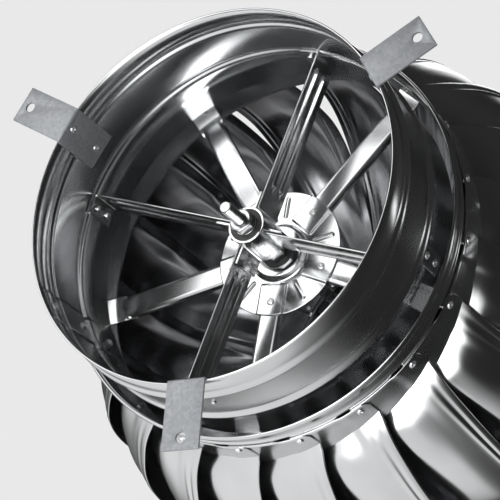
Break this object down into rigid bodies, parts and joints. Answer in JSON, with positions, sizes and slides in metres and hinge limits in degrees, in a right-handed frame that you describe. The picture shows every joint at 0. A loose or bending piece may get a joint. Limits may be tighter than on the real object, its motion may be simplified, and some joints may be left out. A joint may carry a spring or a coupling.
{
  "type": "roof turbine ventilator",
  "caption": "Wind-driven roof ventilator: a bladed metal head spins on a fixed spindle over a round duct collar with screw-down brackets.",
  "frame": {"origin": "on the spin axis, in the plane of the brackets' undersides, which is the deck the ventilator stands on", "axes": "+Z along the spin axis from the collar up to the crown; +Y towards the middle of the first bracket"},
  "size_m": [0.4368, 0.4368, 0.3781],
  "materials": {
    "polished_stainless": "mirror-polished stainless sheet",
    "bright_steel": "bright rolled steel strip",
    "galvanised_steel": "dull zinc-coated steel strip",
    "rivet_metal": "satin blind rivets",
    "machined_steel": "turned and ground steel",
    "black_rubber": "matt moulded rubber"
  },
  "bodies": {
    "stator": {"throat": "polished_stainless", "bracket_1": "galvanised_steel", "bracket_2": "galvanised_steel", "bracket_3": "galvanised_steel", "bracket_rivets": "rivet_metal", "seam_rivets": "rivet_metal", "strut_1": "bright_steel", "strut_2": "bright_steel", "strut_3": "bright_steel", "strut_4": "bright_steel", "strut_rivets": "rivet_metal", "hub": "bright_steel", "hub_bushes": "black_rubber", "spindle": "machined_steel", "spindle_nuts": "machined_steel", "spindle_washers": "machined_steel", "bearing_inner_rings": "machined_steel"},
    "rotor": {"head_ring": "polished_stainless", "head_disc": "polished_stainless", "head_arm_1": "polished_stainless", "head_arm_2": "polished_stainless", "head_arm_3": "polished_stainless", "head_arm_4": "polished_stainless", "head_arm_5": "polished_stainless", "disc_rivets": "rivet_metal", "arm_rivets": "rivet_metal", "vane_rivets": "rivet_metal", "vane_01": "polished_stainless", "vane_02": "polished_stainless", "vane_03": "polished_stainless", "vane_04": "polished_stainless", "vane_05": "polished_stainless", "vane_06": "polished_stainless", "vane_07": "polished_stainless", "vane_08": "polished_stainless", "vane_09": "polished_stainless", "vane_10": "polished_stainless", "vane_11": "polished_stainless", "vane_12": "polished_stainless", "vane_13": "polished_stainless", "vane_14": "polished_stainless", "vane_15": "polished_stainless", "vane_16": "polished_stainless", "vane_17": "polished_stainless", "vane_18": "polished_stainless", "vane_19": "polished_stainless", "vane_20": "polished_stainless", "crown": "polished_stainless", "crown_rivets": "rivet_metal", "bearing_cup": "bright_steel", "crown_cap": "polished_stainless", "bearing_outer_rings": "machined_steel", "bearing_seals": "black_rubber", "dust_seal": "black_rubber"}
  },
  "joints": [
    {"name": "rotor_spin", "type": "hinge", "parent": "stator", "child": "rotor", "pos_m": [0, 0, 0.125], "axis": [0, 0, 1], "continuous": true}
  ]
}
